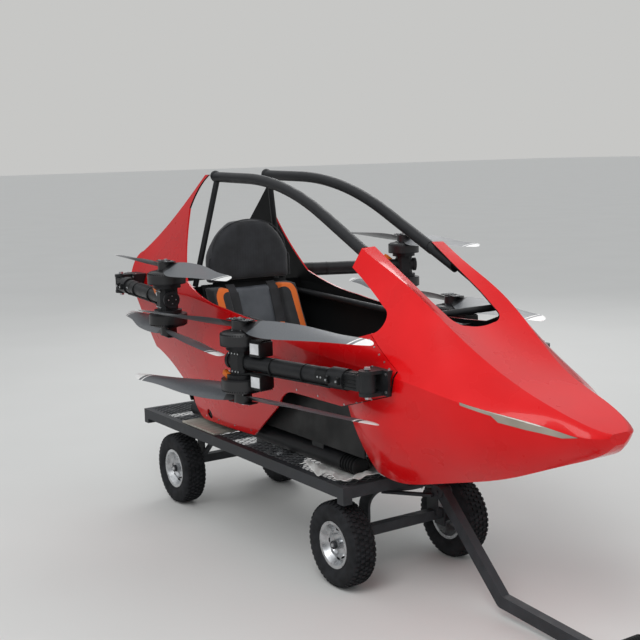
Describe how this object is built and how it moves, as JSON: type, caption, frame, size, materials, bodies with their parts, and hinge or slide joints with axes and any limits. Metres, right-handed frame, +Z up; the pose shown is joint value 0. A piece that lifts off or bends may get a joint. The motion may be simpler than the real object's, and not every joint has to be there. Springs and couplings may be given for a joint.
{
  "type": "electric vertical takeoff aircraft on trolley",
  "caption": "Single-seat electric vertical takeoff aircraft with folding arms carrying stacked rotors, parked on its steerable four-wheel transport trolley.",
  "frame": {"origin": "on the floor, under the middle of the whole outline", "axes": "+X to the nose and drawbar, +Y to the left side, +Z up"},
  "size_m": [3.2299, 1.8769, 1.5535],
  "materials": {
    "gloss_red": "high gloss paint",
    "lamp_lens": "clear lens over pale strip",
    "matt_black_metal": "matt powder coat",
    "black_composite": "satin moulded composite",
    "seat_fabric": "woven",
    "strap_webbing": "woven webbing",
    "black_rubber": "matt",
    "trolley_paint": "satin paint",
    "motor_black": "black anodised",
    "blade_grey": "satin carbon composite",
    "zinc_rim": "silver paint on pressed steel",
    "tyre_rubber": "tread",
    "padding_cloth": "white cloth",
    "pale_wood": "pale board"
  },
  "bodies": {
    "airframe": {"nose_shell": "gloss_red", "lamp_strips": "lamp_lens", "left_flank": "gloss_red", "right_flank": "gloss_red", "cockpit_tub": "black_composite", "bulkhead": "black_composite", "front_former": "black_composite", "left_roll_tube": "matt_black_metal", "right_roll_tube": "matt_black_metal", "dash_bar": "matt_black_metal", "sill_rails": "matt_black_metal", "tail_frame": "matt_black_metal", "skids": "matt_black_metal", "skid_buffers": "black_rubber", "battery_pack": "black_composite", "seat_shell": "black_composite", "seat_cushion": "seat_fabric", "back_cushion": "seat_fabric", "side_bolsters": "seat_fabric", "headrest": "seat_fabric", "harness": "strap_webbing", "front_hinges": "matt_black_metal", "rear_hinges": "matt_black_metal", "deck_frame": "trolley_paint", "deck_mesh": "trolley_paint", "rear_axle": "trolley_paint", "front_padding": "padding_cloth", "rear_board": "pale_wood"},
    "front_bogie": {"front_bogie": "trolley_paint"},
    "drawbar": {"drawbar": "trolley_paint"},
    "rear_left_wheel": {"rear_left_rim": "zinc_rim", "rear_left_tyre": "tyre_rubber"},
    "rear_right_wheel": {"rear_right_rim": "zinc_rim", "rear_right_tyre": "tyre_rubber"},
    "front_left_wheel": {"front_left_rim": "zinc_rim", "front_left_tyre": "tyre_rubber"},
    "front_right_wheel": {"front_right_rim": "zinc_rim", "front_right_tyre": "tyre_rubber"},
    "right_front_arm": {"right_front_arm": "matt_black_metal", "right_front_stators": "motor_black"},
    "right_front_upper_rotor": {"right_front_upper_rotor": "blade_grey"},
    "right_front_lower_rotor": {"right_front_lower_rotor": "blade_grey"},
    "left_front_arm": {"left_front_arm": "matt_black_metal", "left_front_stators": "motor_black"},
    "left_front_upper_rotor": {"left_front_upper_rotor": "blade_grey"},
    "left_front_lower_rotor": {"left_front_lower_rotor": "blade_grey"},
    "right_rear_arm": {"right_rear_arm": "matt_black_metal", "right_rear_stators": "motor_black"},
    "right_rear_upper_rotor": {"right_rear_upper_rotor": "blade_grey"},
    "right_rear_lower_rotor": {"right_rear_lower_rotor": "blade_grey"},
    "left_rear_arm": {"left_rear_arm": "matt_black_metal", "left_rear_stators": "motor_black"},
    "left_rear_upper_rotor": {"left_rear_upper_rotor": "blade_grey"},
    "left_rear_lower_rotor": {"left_rear_lower_rotor": "blade_grey"}
  },
  "joints": [
    {"name": "trolley_steering", "type": "hinge", "parent": "airframe", "child": "front_bogie", "pos_m": [0.40399, -0.27255, 0.3], "axis": [0, 0, 1], "range_deg": [-30, 30]},
    {"name": "drawbar_lift", "type": "hinge", "parent": "front_bogie", "child": "drawbar", "pos_m": [0.66899, -0.27255, 0.376], "axis": [0, -1, 0], "range_deg": [0, 35]},
    {"name": "rear_left_wheel_spin", "type": "hinge", "parent": "airframe", "child": "rear_left_wheel", "pos_m": [-0.93601, -0.00005, 0.165], "axis": [0, 1, 0], "continuous": true},
    {"name": "rear_right_wheel_spin", "type": "hinge", "parent": "airframe", "child": "rear_right_wheel", "pos_m": [-0.93601, -0.54505, 0.165], "axis": [0, 1, 0], "continuous": true},
    {"name": "front_left_wheel_spin", "type": "hinge", "parent": "front_bogie", "child": "front_left_wheel", "pos_m": [0.40399, -0.00005, 0.165], "axis": [0, 1, 0], "continuous": true},
    {"name": "front_right_wheel_spin", "type": "hinge", "parent": "front_bogie", "child": "front_right_wheel", "pos_m": [0.40399, -0.54505, 0.165], "axis": [0, 1, 0], "continuous": true},
    {"name": "right_front_arm_fold", "type": "hinge", "parent": "airframe", "child": "right_front_arm", "pos_m": [0.76899, -0.67255, 0.85], "axis": [0, 0, 1], "range_deg": [0, 95]},
    {"name": "right_front_upper_rotor_spin", "type": "hinge", "parent": "right_front_arm", "child": "right_front_upper_rotor", "pos_m": [0.11901, -0.78716, 0.85], "axis": [0, 0, 1], "range_deg": [-0.5, 2]},
    {"name": "right_front_lower_rotor_spin", "type": "hinge", "parent": "right_front_arm", "child": "right_front_lower_rotor", "pos_m": [0.11901, -0.78716, 0.85], "axis": [0, 0, 1], "range_deg": [-2, 2]},
    {"name": "left_front_arm_fold", "type": "hinge", "parent": "airframe", "child": "left_front_arm", "pos_m": [0.76899, 0.12745, 0.85], "axis": [0, 0, -1], "range_deg": [0, 95]},
    {"name": "left_front_upper_rotor_spin", "type": "hinge", "parent": "left_front_arm", "child": "left_front_upper_rotor", "pos_m": [0.11901, 0.24206, 0.85], "axis": [0, 0, 1], "range_deg": [-2, 2]},
    {"name": "left_front_lower_rotor_spin", "type": "hinge", "parent": "left_front_arm", "child": "left_front_lower_rotor", "pos_m": [0.11901, 0.24206, 0.85], "axis": [0, 0, 1], "range_deg": [-2, 2]},
    {"name": "right_rear_arm_fold", "type": "hinge", "parent": "airframe", "child": "right_rear_arm", "pos_m": [-1.21601, -0.68255, 1.03], "axis": [0, 0, -1], "range_deg": [0, 87.4]},
    {"name": "right_rear_upper_rotor_spin", "type": "hinge", "parent": "right_rear_arm", "child": "right_rear_upper_rotor", "pos_m": [-0.51292, -0.78136, 1.03], "axis": [0, 0, 1], "range_deg": [-2, 2]},
    {"name": "right_rear_lower_rotor_spin", "type": "hinge", "parent": "right_rear_arm", "child": "right_rear_lower_rotor", "pos_m": [-0.51292, -0.78136, 1.03], "axis": [0, 0, 1], "range_deg": [-2, 2]},
    {"name": "left_rear_arm_fold", "type": "hinge", "parent": "airframe", "child": "left_rear_arm", "pos_m": [-1.21601, 0.13745, 1.03], "axis": [0, 0, 1], "range_deg": [-8, 35]},
    {"name": "left_rear_upper_rotor_spin", "type": "hinge", "parent": "left_rear_arm", "child": "left_rear_upper_rotor", "pos_m": [-0.91595, 0.78093, 1.03], "axis": [0, 0, 1], "continuous": true},
    {"name": "left_rear_lower_rotor_spin", "type": "hinge", "parent": "left_rear_arm", "child": "left_rear_lower_rotor", "pos_m": [-0.91595, 0.78093, 1.03], "axis": [0, 0, 1], "continuous": true}
  ],
  "couplings": [
    {"joint": "right_rear_arm_fold", "follows": "right_front_arm_fold", "ratio": 0.92}
  ]
}
